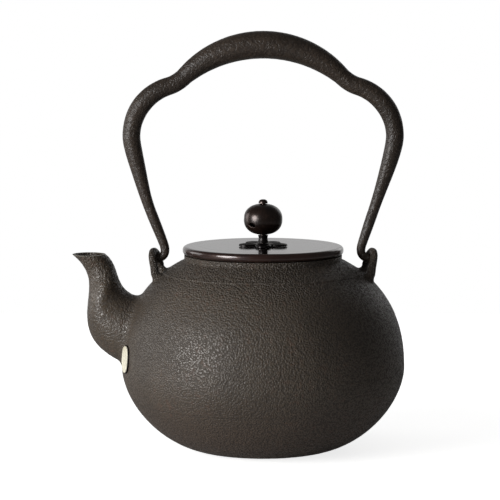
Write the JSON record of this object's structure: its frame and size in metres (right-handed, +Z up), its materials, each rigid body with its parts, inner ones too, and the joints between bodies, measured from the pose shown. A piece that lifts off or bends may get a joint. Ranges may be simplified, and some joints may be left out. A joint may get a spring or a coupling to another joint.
{
  "type": "cast-iron kettle",
  "caption": "Round cast-iron kettle with a short spout, a flat drop-in lid with a ball knob and an arched bail that swings in two ears.",
  "frame": {"origin": "centre of the flat underside", "axes": "+Z up, -X towards the spout, -Y towards the viewer of the picture; the bail swings about an axis parallel to X"},
  "size_m": [0.1953, 0.1664, 0.2461],
  "materials": {
    "body_iron": "fine granular casting skin, dark brown-black lacquer baked on",
    "ear_iron": "as the body",
    "bail_iron": "forged iron, fine dotted skin, dark lacquer",
    "lid_bronze": "dark purple-brown patina, polished to a mirror",
    "knob_bronze": "dark brown patina, satin",
    "seat_bronze": "near-black patina, satin"
  },
  "bodies": {
    "kettle": {"kettle_body": "body_iron", "spout": "body_iron", "rear_ear": "ear_iron", "spout_side_ear": "ear_iron"},
    "bail": {"bail_handle": "bail_iron"},
    "lid": {"lid": "lid_bronze", "knob_seat": "seat_bronze", "pin_washer": "knob_bronze"},
    "knob": {"knob_ball": "knob_bronze", "knob_neck": "knob_bronze", "knob_pin": "knob_bronze"}
  },
  "joints": [
    {"name": "bail_swing", "type": "hinge", "parent": "kettle", "child": "bail", "pos_m": [0, 0, 0.11242], "axis": [1, 0, 0], "range_deg": [-58, 112]},
    {"name": "lid_lift", "type": "slide", "parent": "kettle", "child": "lid", "axis": [0, 0, 1], "range_m": [0, 0.06]},
    {"name": "knob_spin", "type": "hinge", "parent": "lid", "child": "knob", "pos_m": [0, 0, 0.136], "axis": [0, 0, 1], "continuous": true}
  ]
}
